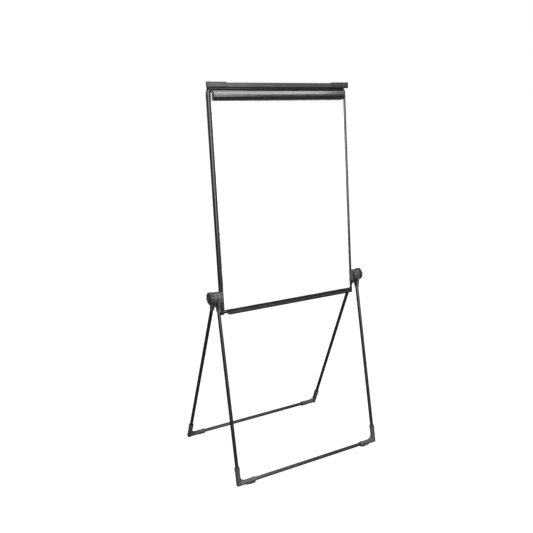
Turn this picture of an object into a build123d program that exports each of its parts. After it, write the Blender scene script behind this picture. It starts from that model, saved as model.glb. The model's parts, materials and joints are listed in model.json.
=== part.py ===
from build123d import *
import os
from math import asin, atan, cos, degrees, hypot, radians, sin, tan

# Folding flipchart easel: a whiteboard in a bent steel tube frame, carried at its sides by two U-shaped
# leg frames that turn on one axis and are locked by two fluted knobs.
#
# The origin is on the floor, in the middle of the space the easel takes up. +X points to the right of a
# person facing the board, +Y to the back and +Z up. Lengths are in millimetres and angles in degrees.

# ---------------------------------------------------------------- driving dimensions
PIVOT_HEIGHT = 828.0
BOARD_LEAN = 6.2

# Board frame, measured from the pivot axis up the board, to the tube's centre line
FRAME_TUBE_RADIUS = 9.5
FRAME_TUBE_WALL = 1.2
FRAME_HALF_WIDTH = 352.0
FRAME_TOP = 895.0
FRAME_BOTTOM = -68.2
FRAME_BEND_RADIUS = 19.0
CROSS_TUBE_RADIUS = 9.2
FRAME_LEG_END = -79.0

# Panel, whose front is almost flush with the front of the frame tube
PANEL_INSET = 8.2
PANEL_BACK = 5.2
CORE_THICKNESS = 2.8
SURFACE_THICKNESS = 1.0
TRIM_THICKNESS = 0.8
PANEL_LOW_CORNER_RADIUS = 2.5

# Leg frames: 5/8 inch tube
LEG_TUBE_RADIUS = 7.94
LEG_TUBE_WALL = 1.2
INNER_LEG_X = 371.5
OUTER_LEG_X = 387.5
FOOTBAR_HEIGHT = 13.0
FRONT_REACH = 188.0
REAR_REACH = 318.0

# Moulded foot corners, measured from where the axes of a leg and its foot bar meet
SLEEVE_RADIUS = 11.2
BAR_SLEEVE_RADIUS = 10.6
FOOT_TIP_DROP = 7.5

# Hub stack at each side, outward from the frame tube
HUB_THICKNESS = 14.8
HUB_HEAD_RADIUS = 26.0
HUB_LENGTH = 64.0
SADDLE_FACE_X = 364.0
KNOB_RADIUS = 28.5
KNOB_THICKNESS = 15.0
KNOB_BASE_X = 396.3
BOLT_RADIUS = 4.0
BOLT_HOLE_RADIUS = 4.05

# Clamp bar and its hinge, in board coordinates (forward of the tube plane, up the board)
CLAMP_HALF_LENGTH = 335.0
CLAMP_AXIS_FORWARD = 17.0
CLAMP_AXIS_UP = 877.0
CLAMP_SKIN = 2.0
BARREL_RADIUS = 6.0
PIN_RADIUS = 2.0

# Top rail with the display arms
RAIL_FORWARD = 17.5
RAIL_UP = 907.0
RAIL_DEPTH = 13.0
RAIL_TALL = 20.0
RAIL_WALL = 1.5
RAIL_HALF_LENGTH = 351.0

# Small fasteners
SCREW_RADIUS = 1.5
SCREW_HOLE_RADIUS = 1.55
SCREW_HEAD_RADIUS = 3.0
SCREW_HEAD_HEIGHT = 1.6
SCREW_HEAD_TAPER = 12.0
RIVET_RADIUS = 1.6
RIVET_SHANK_LENGTH = 5.0
RIVET_HEAD_RADIUS = 3.2
RIVET_HEAD_HEIGHT = 1.1
RIVET_HEAD_TAPER = 25.0

# Gaps between pieces that fit together
SNUG_GAP = 0.05
RUNNING_GAP = 0.1

SIDES = {"left": -1, "right": 1}


# ---------------------------------------------------------------- planes and small helpers
def leaning_plane(lean):
    """A plane through the pivot axis: local x to the right, y up the member, z out of its front."""
    normal = (0, -cos(radians(lean)), sin(radians(lean)))
    return Plane(origin=(0, PIVOT_Y, PIVOT_HEIGHT), x_dir=(1, 0, 0), z_dir=normal)


def across(base, x):
    """A plane square to X at x: local x is forward of the base plane, local y runs up it."""
    return Plane(origin=base.from_local_coords((x, 0, 0)), x_dir=base.z_dir, z_dir=(-1, 0, 0))


def level(base, up):
    """A plane square to the base's up direction: local x is X, local y is forward of the base plane."""
    return Plane(origin=base.from_local_coords((0, up, 0)), x_dir=(1, 0, 0), z_dir=-base.y_dir)


def toward(base, point, direction):
    """A plane at a point in base coordinates, facing along a direction in base coordinates."""
    start = base.from_local_coords(point)
    end = base.from_local_coords(tuple(p + d for p, d in zip(point, direction)))
    return Plane(origin=start, z_dir=end - start)


def save(builder, name):
    """Labels a finished piece and writes it to its own file."""
    builder.part.label = name
    export_step(builder.part, f"parts/{name}.step")


def pan_head_screws(base, spots, direction, shaft_length):
    """Pan-head screws: each spot is the underside of a head, and direction points from head to tip."""
    with BuildPart() as screws:
        for spot in spots:
            seat = toward(base, spot, direction)
            with BuildSketch(seat):
                Circle(SCREW_RADIUS)
            extrude(amount=shaft_length)
            with BuildSketch(seat):
                Circle(SCREW_HEAD_RADIUS)
            extrude(amount=-SCREW_HEAD_HEIGHT, taper=SCREW_HEAD_TAPER)
    return screws


def drill(base, spots, direction, radius, depth):
    """Cuts a round hole at each spot of the part being built."""
    for spot in spots:
        with BuildSketch(toward(base, spot, direction)) as hole:
            Circle(radius)
        extrude(hole.sketch, amount=depth, mode=Mode.SUBTRACT)


def foot_extent(reach):
    """How far the outermost edge of a foot corner stands from the pivot axis, seen from above."""
    lean = atan(reach / (PIVOT_HEIGHT - FOOTBAR_HEIGHT))
    tip = hypot(reach, PIVOT_HEIGHT - FOOTBAR_HEIGHT) + FOOT_TIP_DROP
    return tip * sin(lean) + SLEEVE_RADIUS * cos(lean)


# The pivot axis stands in front of the origin, so that the origin is midway between the feet
PIVOT_Y = (foot_extent(FRONT_REACH) - foot_extent(REAR_REACH)) / 2
BOARD = leaning_plane(BOARD_LEAN)
FRONT_LEAN = degrees(atan(FRONT_REACH / (PIVOT_HEIGHT - FOOTBAR_HEIGHT)))
REAR_LEAN = -degrees(atan(REAR_REACH / (PIVOT_HEIGHT - FOOTBAR_HEIGHT)))

os.makedirs("parts", exist_ok=True)

# ---------------------------------------------------------------- where the fasteners go
# Panel clips: (x, up, side), where side is the inboard direction in the plane of the board
CLIP_SIDE_HEIGHTS = (130, 410, 690)
CLIP_TOP_XS = (-180, 180)
CLIP_WIDTH = 16.0
CLIP_THICKNESS = 1.2
CLIP_TAB_REACH = 18.0
CLIP_STEP_HEIGHT = 4.0
CLIP_STRIP_FRONT = 2.9
CLIP_STRIP_START = -4.0
CLIP_SCREW_LENGTH = 3.4
TAB_SCREW_INSET = 20.0
TAB_HOLE_DEPTH = 3.6

clip_spots = []
for side in SIDES.values():
    for height in CLIP_SIDE_HEIGHTS:
        clip_spots.append((side * FRAME_HALF_WIDTH, height, (-side, 0)))
for clip_x in CLIP_TOP_XS:
    clip_spots.append((clip_x, FRAME_TOP, (0, -1)))
    clip_spots.append((clip_x, FRAME_BOTTOM, (0, 1)))

tube_screw_spots = []
tab_screw_spots = []
for clip_x, clip_up, (inward_x, inward_up) in clip_spots:
    back_of_clip = -FRAME_TUBE_RADIUS - CLIP_THICKNESS
    tube_screw_spots.append((clip_x, clip_up, back_of_clip))
    tab_x = clip_x + TAB_SCREW_INSET * inward_x
    tab_up = clip_up + TAB_SCREW_INSET * inward_up
    tab_screw_spots.append((tab_x, tab_up, PANEL_BACK - CLIP_THICKNESS))

TRAY_SHEET = 1.5
TRAY_SCREW_XS = (-300, -100, 100, 300)
tray_screw_spots = [(x, FRAME_BOTTOM, CROSS_TUBE_RADIUS + TRAY_SHEET) for x in TRAY_SCREW_XS]

BASE_THICKNESS = 1.2
PANEL_FRONT = PANEL_BACK + CORE_THICKNESS + SURFACE_THICKNESS
BASE_SCREW_XS = (-300, -180, -60, 60, 180, 300)
BASE_SCREW_UP = 861.0
BASE_HOLE_DEPTH = 6.0
base_screw_spots = [(x, BASE_SCREW_UP, PANEL_FRONT + BASE_THICKNESS) for x in BASE_SCREW_XS]

BRACKET_INNER_X = 267.0
BRACKET_SADDLE_END_X = 325.0
BRACKET_SADDLE_TOP = 910.0
BRACKET_SCREW_XS = (280, 312)
bracket_screw_spots = []
for side in SIDES.values():
    for screw_x in BRACKET_SCREW_XS:
        bracket_screw_spots.append((side * screw_x, BRACKET_SADDLE_TOP, 0))


# ---------------------------------------------------------------- board frame
RIVET_NUT_RADIUS = 5.5
WELD_ROOT = 0.5
FRAME_PLUG_HEAD = 1.5
FRAME_PLUG_LENGTH = 10.0

with BuildPart() as frame_tube:
    with BuildLine(BOARD) as frame_path:
        FilletPolyline(
            (FRAME_HALF_WIDTH, FRAME_LEG_END),
            (FRAME_HALF_WIDTH, FRAME_TOP),
            (-FRAME_HALF_WIDTH, FRAME_TOP),
            (-FRAME_HALF_WIDTH, FRAME_LEG_END),
            radius=FRAME_BEND_RADIUS,
        )
    hoop = frame_path.wires()[0]
    with BuildSketch(Plane(origin=hoop @ 0, z_dir=hoop % 0)):
        Circle(FRAME_TUBE_RADIUS)
    sweep(path=hoop)
    # cross tube at the foot of the board, welded between the hoop's ends
    with BuildSketch(across(BOARD, 0)):
        with Locations((0, FRAME_BOTTOM)):
            Circle(CROSS_TUBE_RADIUS)
    extrude(amount=FRAME_HALF_WIDTH, both=True)
    with BuildSketch(Plane(origin=hoop @ 0, z_dir=hoop % 0)):
        Circle(FRAME_TUBE_RADIUS - FRAME_TUBE_WALL)
    sweep(path=hoop, mode=Mode.SUBTRACT)
    with BuildSketch(across(BOARD, 0)):
        with Locations((0, FRAME_BOTTOM)):
            Circle(CROSS_TUBE_RADIUS - FRAME_TUBE_WALL)
    cross_bore_half_length = FRAME_HALF_WIDTH - FRAME_TUBE_RADIUS - WELD_ROOT
    extrude(amount=cross_bore_half_length, both=True, mode=Mode.SUBTRACT)
    # screw holes of the panel clips, the tray and the rail brackets, each through one wall
    drill(BOARD, tube_screw_spots, (0, 0, 1), SCREW_HOLE_RADIUS, FRAME_TUBE_RADIUS)
    drill(BOARD, tray_screw_spots, (0, 0, -1), SCREW_HOLE_RADIUS, FRAME_TUBE_RADIUS)
    drill(BOARD, bracket_screw_spots, (0, -1, 0), SCREW_HOLE_RADIUS, BRACKET_SADDLE_TOP - FRAME_TOP)
    for side in SIDES.values():
        with BuildSketch(toward(BOARD, (side * FRAME_HALF_WIDTH, 0, 0), (side, 0, 0))):
            Circle(RIVET_NUT_RADIUS)
        extrude(amount=FRAME_TUBE_RADIUS, mode=Mode.SUBTRACT)
save(frame_tube, "frame_tube")

with BuildPart() as frame_plugs:
    for side in SIDES.values():
        with BuildSketch(level(BOARD, FRAME_LEG_END)):
            with Locations((side * FRAME_HALF_WIDTH, 0)):
                Circle(FRAME_TUBE_RADIUS)
        extrude(amount=FRAME_PLUG_HEAD)
        with BuildSketch(level(BOARD, FRAME_LEG_END)):
            with Locations((side * FRAME_HALF_WIDTH, 0)):
                Circle(FRAME_TUBE_RADIUS - FRAME_TUBE_WALL - SNUG_GAP)
        extrude(amount=-FRAME_PLUG_LENGTH)
save(frame_plugs, "frame_plugs")


# ---------------------------------------------------------------- panel
PANEL_TOP = FRAME_TOP - PANEL_INSET
PANEL_BOTTOM = FRAME_BOTTOM + PANEL_INSET
PANEL_HALF_WIDTH = FRAME_HALF_WIDTH - PANEL_INSET
PANEL_CORNER_RADIUS = FRAME_BEND_RADIUS - PANEL_INSET
PANEL_MIDDLE = (PANEL_TOP + PANEL_BOTTOM) / 2


def panel_outline(inset):
    """The panel's outline, drawn inset from its outer edge: rounded above, almost square below."""
    width = 2 * (PANEL_HALF_WIDTH - inset)
    with Locations((0, PANEL_MIDDLE)):
        RectangleRounded(width, PANEL_TOP - PANEL_BOTTOM - 2 * inset, PANEL_CORNER_RADIUS - inset)
    lower_edge = PANEL_BOTTOM + inset
    with Locations((0, (PANEL_MIDDLE + lower_edge) / 2)):
        RectangleRounded(width, PANEL_MIDDLE - lower_edge, PANEL_LOW_CORNER_RADIUS - inset)


with BuildPart() as board_core:
    with BuildSketch(BOARD.offset(PANEL_BACK)):
        panel_outline(TRIM_THICKNESS)
    extrude(amount=CORE_THICKNESS)
    drill(BOARD, tab_screw_spots, (0, 0, 1), SCREW_HOLE_RADIUS, TAB_HOLE_DEPTH)
    drill(BOARD, base_screw_spots, (0, 0, -1), SCREW_HOLE_RADIUS, BASE_HOLE_DEPTH)
save(board_core, "board_core")

with BuildPart() as writing_surface:
    with BuildSketch(BOARD.offset(PANEL_BACK + CORE_THICKNESS)):
        panel_outline(TRIM_THICKNESS)
    extrude(amount=SURFACE_THICKNESS)
    drill(BOARD, base_screw_spots, (0, 0, -1), SCREW_HOLE_RADIUS, BASE_HOLE_DEPTH)
save(writing_surface, "writing_surface")

with BuildPart() as panel_edge_trim:
    with BuildSketch(BOARD.offset(PANEL_BACK)):
        panel_outline(0)
    extrude(amount=CORE_THICKNESS + SURFACE_THICKNESS)
    with BuildSketch(BOARD.offset(PANEL_BACK)):
        panel_outline(TRIM_THICKNESS)
    extrude(amount=CORE_THICKNESS + SURFACE_THICKNESS, mode=Mode.SUBTRACT)
save(panel_edge_trim, "panel_edge_trim")


def clip_section():
    """A clip's section: a strip round the back of the tube, a step, and a flat tab behind the panel."""
    outer_radius = FRAME_TUBE_RADIUS + CLIP_THICKNESS
    Circle(outer_radius)
    with Locations((0, CLIP_STRIP_FRONT + outer_radius)):
        Rectangle(4 * outer_radius, 2 * outer_radius, mode=Mode.SUBTRACT)
    with Locations((CLIP_STRIP_START - outer_radius, 0)):
        Rectangle(2 * outer_radius, 4 * outer_radius, mode=Mode.SUBTRACT)
    with Locations((FRAME_TUBE_RADIUS + CLIP_TAB_REACH / 2, PANEL_BACK - CLIP_THICKNESS / 2)):
        Rectangle(CLIP_TAB_REACH, CLIP_THICKNESS)
    with Locations((FRAME_TUBE_RADIUS + CLIP_THICKNESS / 2, PANEL_BACK - CLIP_STEP_HEIGHT / 2)):
        Rectangle(CLIP_THICKNESS, CLIP_STEP_HEIGHT)
    Circle(FRAME_TUBE_RADIUS, mode=Mode.SUBTRACT)


with BuildPart() as panel_clips:
    for clip_x, clip_up, (inward_x, inward_up) in clip_spots:
        centre = BOARD.from_local_coords((clip_x, clip_up, 0))
        sideways = BOARD.x_dir * inward_x + BOARD.y_dir * inward_up
        with BuildSketch(Plane(origin=centre, x_dir=sideways, z_dir=sideways.cross(BOARD.z_dir))):
            clip_section()
        extrude(amount=CLIP_WIDTH / 2, both=True)
    drill(BOARD, tube_screw_spots, (0, 0, 1), SCREW_HOLE_RADIUS, 2 * CLIP_THICKNESS)
    drill(BOARD, tab_screw_spots, (0, 0, 1), SCREW_HOLE_RADIUS, 2 * CLIP_THICKNESS)
save(panel_clips, "panel_clips")

clip_screws = pan_head_screws(BOARD, tube_screw_spots + tab_screw_spots, (0, 0, 1), CLIP_SCREW_LENGTH)
save(clip_screws, "clip_screws")


# ---------------------------------------------------------------- marker tray
TRAY_HALF_LENGTH = 333.0
TRAY_FLANGE_TOP = -60.8
TRAY_FLOOR = -77.0
TRAY_LIP_FORWARD = 41.0
TRAY_LIP_HEIGHT = 11.0
TRAY_BEND_RADIUS = 3.0
TRAY_SCREW_LENGTH = 6.0

with BuildPart() as marker_tray:
    with BuildSketch(across(BOARD, 0)):
        with BuildLine():
            FilletPolyline(
                (CROSS_TUBE_RADIUS + TRAY_SHEET, TRAY_FLANGE_TOP),
                (CROSS_TUBE_RADIUS + TRAY_SHEET, TRAY_FLOOR + TRAY_SHEET),
                (TRAY_LIP_FORWARD - TRAY_SHEET, TRAY_FLOOR + TRAY_SHEET),
                (TRAY_LIP_FORWARD - TRAY_SHEET, TRAY_FLOOR + TRAY_LIP_HEIGHT),
                radius=TRAY_BEND_RADIUS,
            )
            FilletPolyline(
                (CROSS_TUBE_RADIUS, TRAY_FLANGE_TOP),
                (CROSS_TUBE_RADIUS, TRAY_FLOOR),
                (TRAY_LIP_FORWARD, TRAY_FLOOR),
                (TRAY_LIP_FORWARD, TRAY_FLOOR + TRAY_LIP_HEIGHT),
                radius=TRAY_BEND_RADIUS + TRAY_SHEET,
            )
            Line(
                (CROSS_TUBE_RADIUS, TRAY_FLANGE_TOP),
                (CROSS_TUBE_RADIUS + TRAY_SHEET, TRAY_FLANGE_TOP),
            )
            Line(
                (TRAY_LIP_FORWARD, TRAY_FLOOR + TRAY_LIP_HEIGHT),
                (TRAY_LIP_FORWARD - TRAY_SHEET, TRAY_FLOOR + TRAY_LIP_HEIGHT),
            )
        make_face()
        # rolled top edge of the front lip
        with Locations((TRAY_LIP_FORWARD - TRAY_SHEET, TRAY_FLOOR + TRAY_LIP_HEIGHT)):
            Circle(TRAY_SHEET)
    extrude(amount=TRAY_HALF_LENGTH, both=True)
    drill(BOARD, tray_screw_spots, (0, 0, -1), SCREW_HOLE_RADIUS, 2 * TRAY_SHEET)
save(marker_tray, "marker_tray")

tray_screws = pan_head_screws(BOARD, tray_screw_spots, (0, 0, -1), TRAY_SCREW_LENGTH)
save(tray_screws, "tray_screws")


# ---------------------------------------------------------------- clamp base, fixed to the panel
BASE_HALF_LENGTH = 325.0
BASE_LOW = 857.0
BASE_HIGH = 883.0
HINGE_XS = (-230, 230)
EAR_SPACING = 50.0
EAR_THICKNESS = 3.0
EAR_RADIUS = 4.2
EAR_TOP_STEP = 1.2
NOTCH_LENGTH = 60.0
NOTCH_RADIUS = 4.5
PIN_LENGTH = 90.0

with BuildPart() as clamp_base:
    with BuildSketch(BOARD.offset(PANEL_FRONT)):
        with Locations((0, (BASE_LOW + BASE_HIGH) / 2)):
            Rectangle(2 * BASE_HALF_LENGTH, BASE_HIGH - BASE_LOW)
    extrude(amount=BASE_THICKNESS)
    for hinge_x in HINGE_XS:
        for ear_x in (hinge_x - EAR_SPACING / 2, hinge_x + EAR_SPACING / 2):
            with BuildSketch(across(BOARD, ear_x)):
                with Locations((CLAMP_AXIS_FORWARD, CLAMP_AXIS_UP)):
                    Circle(EAR_RADIUS)
                ear_back = PANEL_FRONT + BASE_THICKNESS
                ear_middle = (ear_back + CLAMP_AXIS_FORWARD) / 2
                with Locations((ear_middle, CLAMP_AXIS_UP - EAR_TOP_STEP / 2)):
                    Rectangle(CLAMP_AXIS_FORWARD - ear_back, 2 * EAR_RADIUS - EAR_TOP_STEP)
                with Locations((CLAMP_AXIS_FORWARD, CLAMP_AXIS_UP)):
                    Circle(PIN_RADIUS + SNUG_GAP, mode=Mode.SUBTRACT)
            extrude(amount=EAR_THICKNESS / 2, both=True)
    drill(BOARD, base_screw_spots, (0, 0, -1), SCREW_HOLE_RADIUS, BASE_THICKNESS)
save(clamp_base, "clamp_base")

BASE_SCREW_SHORT_OF_BACK = 0.4
base_screw_length = PANEL_FRONT + BASE_THICKNESS - PANEL_BACK - BASE_SCREW_SHORT_OF_BACK
clamp_base_screws = pan_head_screws(BOARD, base_screw_spots, (0, 0, -1), base_screw_length)
save(clamp_base_screws, "clamp_base_screws")


# ---------------------------------------------------------------- hinge pins and springs
with BuildPart() as hinge_pins:
    for hinge_x in HINGE_XS:
        with BuildSketch(across(BOARD, hinge_x)):
            with Locations((CLAMP_AXIS_FORWARD, CLAMP_AXIS_UP)):
                Circle(PIN_RADIUS)
        extrude(amount=PIN_LENGTH / 2, both=True)
save(hinge_pins, "hinge_pins")

SPRING_RADIUS = 3.2
SPRING_WIRE_RADIUS = 0.5
SPRING_PITCH = 1.3
SPRING_LENGTH = 26.0
SPRING_LEG = 11.0
SPRING_LEG_START = 0.2

with BuildPart() as clamp_springs:
    for hinge_x in HINGE_XS:
        coil_start = BOARD.from_local_coords((hinge_x - SPRING_LENGTH / 2, CLAMP_AXIS_UP, CLAMP_AXIS_FORWARD))
        with BuildLine() as coil_line:
            Helix(SPRING_PITCH, SPRING_LENGTH, SPRING_RADIUS, center=coil_start, direction=(1, 0, 0))
        coil = coil_line.wires()[0]
        with BuildSketch(Plane(origin=coil @ 0, z_dir=coil % 0)):
            Circle(SPRING_WIRE_RADIUS)
        sweep(path=coil)
        for end_x in (hinge_x - SPRING_LENGTH / 2, hinge_x + SPRING_LENGTH / 2):
            leg_top = (end_x, CLAMP_AXIS_UP + SPRING_LEG_START, CLAMP_AXIS_FORWARD + SPRING_RADIUS)
            with BuildSketch(toward(BOARD, leg_top, (0, -1, 0))):
                Circle(SPRING_WIRE_RADIUS)
            extrude(amount=SPRING_LEG)
save(clamp_springs, "clamp_springs")


# ---------------------------------------------------------------- clamp bar
# Outer skin of the bar, as points (forward, up): a slope down to the brow, a bowed front, a turned lip
CLAMP_SLOPE = 25.0
CLAMP_BROW_DROP = 13.2
CLAMP_BULGE = (29.6, 859.5)
CLAMP_BELLY = (27.2, 852.0)
CLAMP_CHIN = (23.6, 845.6)
CLAMP_CHIN_BEND = (22.2, 843.8)
CLAMP_LIP_UP = 843.0
CLAMP_LIP_FRONT = 20.0
CLAMP_LIP_BACK = 11.5
BAR_PIN_GAP = 0.03
NOTCH_BACK_DEPTH = 12.0
NOTCH_FRONT_DEPTH = 8.0
STRIP_TALL = 4.0
STRIP_CORNER = 0.9
STRIP_END_GAP = 2.0
CAP_THICKNESS = 3.0
CAP_CHAMFER = 0.8
CAP_PLUG_PLACE = (17.5, 858.5)
CAP_PLUG_DEPTH = 8.0
CAP_PLUG_TALL = 18.0
CAP_PLUG_LENGTH = 8.0

SLOPE_RISE = tan(radians(CLAMP_SLOPE))
CLAMP_TANGENT = (
    CLAMP_AXIS_FORWARD + BARREL_RADIUS * cos(radians(CLAMP_SLOPE)),
    CLAMP_AXIS_UP + BARREL_RADIUS * sin(radians(CLAMP_SLOPE)),
)
CLAMP_BROW = (CLAMP_TANGENT[0] + CLAMP_BROW_DROP * SLOPE_RISE, CLAMP_TANGENT[1] - CLAMP_BROW_DROP)


def clamp_skin_line():
    """The outer line of the bar's skin, from the barrel down to the lip that faces the board."""
    Line(CLAMP_TANGENT, CLAMP_BROW)
    ThreePointArc(CLAMP_BROW, CLAMP_BULGE, CLAMP_BELLY)
    Line(CLAMP_BELLY, CLAMP_CHIN)
    ThreePointArc(CLAMP_CHIN, CLAMP_CHIN_BEND, (CLAMP_LIP_FRONT, CLAMP_LIP_UP))
    Line((CLAMP_LIP_FRONT, CLAMP_LIP_UP), (CLAMP_LIP_BACK, CLAMP_LIP_UP))


with BuildPart() as clamp_bar:
    with BuildSketch(across(BOARD, 0)):
        with BuildLine():
            clamp_skin_line()
            offset(amount=CLAMP_SKIN, side=Side.RIGHT)
        make_face()
        with Locations((CLAMP_AXIS_FORWARD, CLAMP_AXIS_UP)):
            Circle(BARREL_RADIUS)
            Circle(PIN_RADIUS + BAR_PIN_GAP, mode=Mode.SUBTRACT)
    extrude(amount=CLAMP_HALF_LENGTH, both=True)
    # room for the hinge ears and springs behind the front skin
    for hinge_x in HINGE_XS:
        with BuildSketch(across(BOARD, hinge_x)):
            with Locations((CLAMP_AXIS_FORWARD, CLAMP_AXIS_UP)):
                Circle(NOTCH_RADIUS)
            with Locations((CLAMP_AXIS_FORWARD - NOTCH_BACK_DEPTH / 2, CLAMP_AXIS_UP)):
                Rectangle(NOTCH_BACK_DEPTH, 4 * BARREL_RADIUS)
            with Locations((CLAMP_AXIS_FORWARD, CLAMP_AXIS_UP - BARREL_RADIUS)):
                Rectangle(NOTCH_FRONT_DEPTH, 2 * BARREL_RADIUS)
        extrude(amount=NOTCH_LENGTH / 2, both=True, mode=Mode.SUBTRACT)
save(clamp_bar, "clamp_bar")

STRIP_BACK = PANEL_FRONT + 0.3
with BuildPart() as clamp_grip_strip:
    with BuildSketch(across(BOARD, 0)):
        with Locations(((STRIP_BACK + CLAMP_LIP_BACK) / 2, CLAMP_LIP_UP + CLAMP_SKIN / 2)):
            RectangleRounded(CLAMP_LIP_BACK - STRIP_BACK, STRIP_TALL, STRIP_CORNER)
    extrude(amount=CLAMP_HALF_LENGTH - STRIP_END_GAP, both=True)
save(clamp_grip_strip, "clamp_grip_strip")


def clamp_end_cap(side):
    """A moulded cap that closes one end of the clamp bar."""
    with BuildPart() as cap:
        with BuildSketch(across(BOARD, side * (CLAMP_HALF_LENGTH + CAP_THICKNESS / 2))):
            with BuildLine():
                clamp_skin_line()
                Line((CLAMP_LIP_BACK, CLAMP_LIP_UP), (CLAMP_AXIS_FORWARD - BARREL_RADIUS, CLAMP_AXIS_UP))
                Line((CLAMP_AXIS_FORWARD - BARREL_RADIUS, CLAMP_AXIS_UP), CLAMP_TANGENT)
            make_face()
            with Locations((CLAMP_AXIS_FORWARD, CLAMP_AXIS_UP)):
                Circle(BARREL_RADIUS)
        extrude(amount=CAP_THICKNESS / 2, both=True)
        outer_face = cap.faces().sort_by(Axis.X)[-1 if side > 0 else 0]
        chamfer(outer_face.edges(), CAP_CHAMFER)
        # locating plug inside the hollow of the bar
        with BuildSketch(across(BOARD, side * (CLAMP_HALF_LENGTH - CAP_PLUG_LENGTH / 2))):
            with Locations(CAP_PLUG_PLACE):
                Rectangle(CAP_PLUG_DEPTH, CAP_PLUG_TALL)
        extrude(amount=CAP_PLUG_LENGTH / 2, both=True)
    return cap


for side_name, side in SIDES.items():
    save(clamp_end_cap(side), f"clamp_end_cap_{side_name}")


# ---------------------------------------------------------------- top rail, brackets and display arms
BRACKET_BACK = 9.6
BRACKET_FRONT = 26.0
BRACKET_LOW = 895.3
BRACKET_HIGH = 920.3
BRACKET_SLANT = 6.0
BRACKET_CORNER = 2.5
BRACKET_SADDLE_DEPTH = 18.0
BRACKET_SADDLE_FORWARD = 1.0
BRACKET_HOLE_DEPTH = 6.0
BRACKET_SCREW_LENGTH = 9.0
RAIL_CORNER = 2.0
RAIL_INNER_CORNER = 0.6
ARM_CLEARANCE = 0.2
ARM_WALL = 1.2
ARM_INNER_X = 22.0
GRIP_LENGTH = 12.0
GRIP_TALL = 27.0
GRIP_BACK = 9.8
GRIP_FRONT = 27.0
GRIP_CORNER = 3.0
GRIP_EDGE_FILLET = 1.8
GRIP_PLUG_LENGTH = 20.0
GRIP_END_GAP = 0.2
GLIDE_LENGTH = 16.0
GLIDE_PLUG_LENGTH = 12.0
GLIDE_OVERSIZE = 0.3
PLUG_CORNER = 0.3
ARM_DEPTH = RAIL_DEPTH - 2 * RAIL_WALL - 2 * ARM_CLEARANCE
ARM_TALL = RAIL_TALL - 2 * RAIL_WALL - 2 * ARM_CLEARANCE
PLUG_DEPTH = ARM_DEPTH - 2 * ARM_WALL - RUNNING_GAP
PLUG_TALL = ARM_TALL - 2 * ARM_WALL - RUNNING_GAP


def rail_box(first_x, last_x, depth, tall, corner, mode=Mode.ADD):
    """A rounded bar along the rail's centre line, between two places on X."""
    with BuildSketch(across(BOARD, (first_x + last_x) / 2)) as section:
        with Locations((RAIL_FORWARD, RAIL_UP)):
            RectangleRounded(depth, tall, corner)
    extrude(section.sketch, amount=abs(last_x - first_x) / 2, both=True, mode=mode)


with BuildPart() as top_rail:
    rail_box(-RAIL_HALF_LENGTH, RAIL_HALF_LENGTH, RAIL_DEPTH, RAIL_TALL, RAIL_CORNER)
    rail_box(
        -RAIL_HALF_LENGTH,
        RAIL_HALF_LENGTH,
        RAIL_DEPTH - 2 * RAIL_WALL,
        RAIL_TALL - 2 * RAIL_WALL,
        RAIL_INNER_CORNER,
        Mode.SUBTRACT,
    )
save(top_rail, "top_rail")


def rail_bracket(side):
    """A moulded sleeve round the rail's end, with a saddle that sits on the frame tube."""
    with BuildPart() as bracket:
        sleeve_middle = side * (BRACKET_INNER_X + RAIL_HALF_LENGTH) / 2
        with BuildSketch(across(BOARD, sleeve_middle)):
            with Locations(((BRACKET_BACK + BRACKET_FRONT) / 2, (BRACKET_LOW + BRACKET_HIGH) / 2)):
                RectangleRounded(BRACKET_FRONT - BRACKET_BACK, BRACKET_HIGH - BRACKET_LOW, BRACKET_CORNER)
        extrude(amount=(RAIL_HALF_LENGTH - BRACKET_INNER_X) / 2, both=True)
        # slanted inner end
        with BuildSketch(BOARD.offset(BRACKET_BACK)):
            with BuildLine():
                Polyline(
                    (side * BRACKET_INNER_X, BRACKET_LOW),
                    (side * (BRACKET_INNER_X + BRACKET_SLANT), BRACKET_HIGH),
                    (side * BRACKET_INNER_X, BRACKET_HIGH),
                    close=True,
                )
            make_face()
        extrude(amount=BRACKET_FRONT - BRACKET_BACK, mode=Mode.SUBTRACT)
        saddle_start = BRACKET_INNER_X + BRACKET_SLANT
        with BuildSketch(across(BOARD, side * (saddle_start + BRACKET_SADDLE_END_X) / 2)):
            with Locations((BRACKET_SADDLE_FORWARD, (FRAME_TOP + BRACKET_SADDLE_TOP) / 2)):
                Rectangle(BRACKET_SADDLE_DEPTH, BRACKET_SADDLE_TOP - FRAME_TOP)
            with Locations((0, FRAME_TOP)):
                Circle(FRAME_TUBE_RADIUS, mode=Mode.SUBTRACT)
        extrude(amount=(BRACKET_SADDLE_END_X - saddle_start) / 2, both=True)
        rail_box(
            side * BRACKET_INNER_X,
            side * RAIL_HALF_LENGTH,
            RAIL_DEPTH,
            RAIL_TALL,
            RAIL_CORNER,
            Mode.SUBTRACT,
        )
        own_screws = [spot for spot in bracket_screw_spots if spot[0] * side > 0]
        drill(BOARD, own_screws, (0, -1, 0), SCREW_HOLE_RADIUS, BRACKET_HOLE_DEPTH)
    return bracket


def display_arm(side):
    """A hollow bar that slides out of the rail's end."""
    with BuildPart() as arm:
        rail_box(side * ARM_INNER_X, side * RAIL_HALF_LENGTH, ARM_DEPTH, ARM_TALL, RAIL_INNER_CORNER)
        rail_box(
            side * ARM_INNER_X,
            side * RAIL_HALF_LENGTH,
            ARM_DEPTH - 2 * ARM_WALL,
            ARM_TALL - 2 * ARM_WALL,
            PLUG_CORNER,
            Mode.SUBTRACT,
        )
    return arm


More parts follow.
